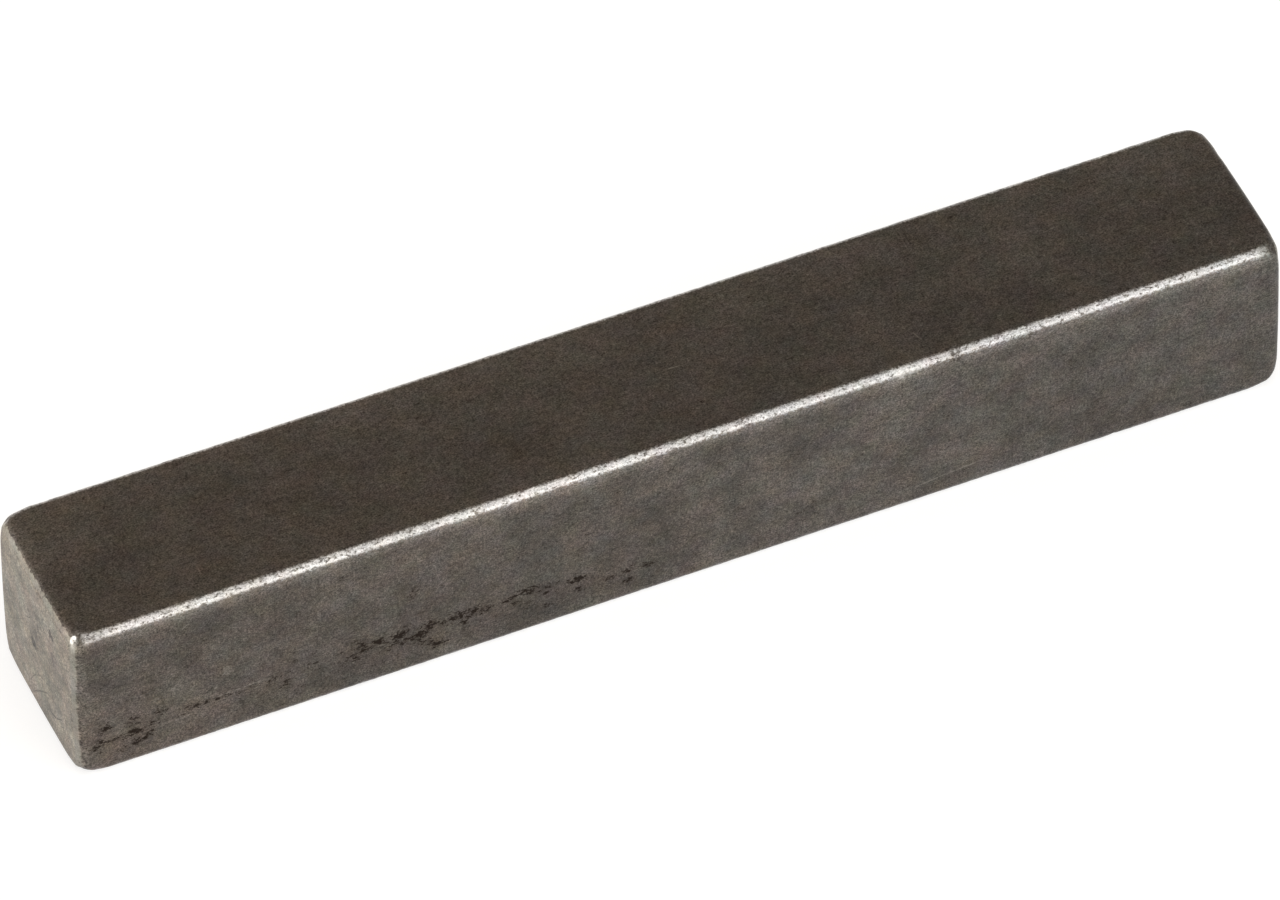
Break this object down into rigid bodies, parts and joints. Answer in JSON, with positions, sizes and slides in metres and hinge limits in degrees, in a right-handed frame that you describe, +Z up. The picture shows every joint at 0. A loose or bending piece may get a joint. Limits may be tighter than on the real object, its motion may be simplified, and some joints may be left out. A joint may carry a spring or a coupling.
{
  "type": "parallel key",
  "caption": "Square-section parallel key with square ends, rounded edges and blunted corners, for locking a hub to a shaft.",
  "frame": {"origin": "centre of the shaft seat, the bottom face that rests in the shaft's keyway", "axes": "+X along the key's length, +Y across its drive flanks, +Z up from the shaft seat to the hub face"},
  "size_m": [0.04, 0.006, 0.006],
  "materials": {
    "key_steel": "satin"
  },
  "bodies": {
    "root": {"parallel_key": "key_steel"}
  },
  "joints": []
}
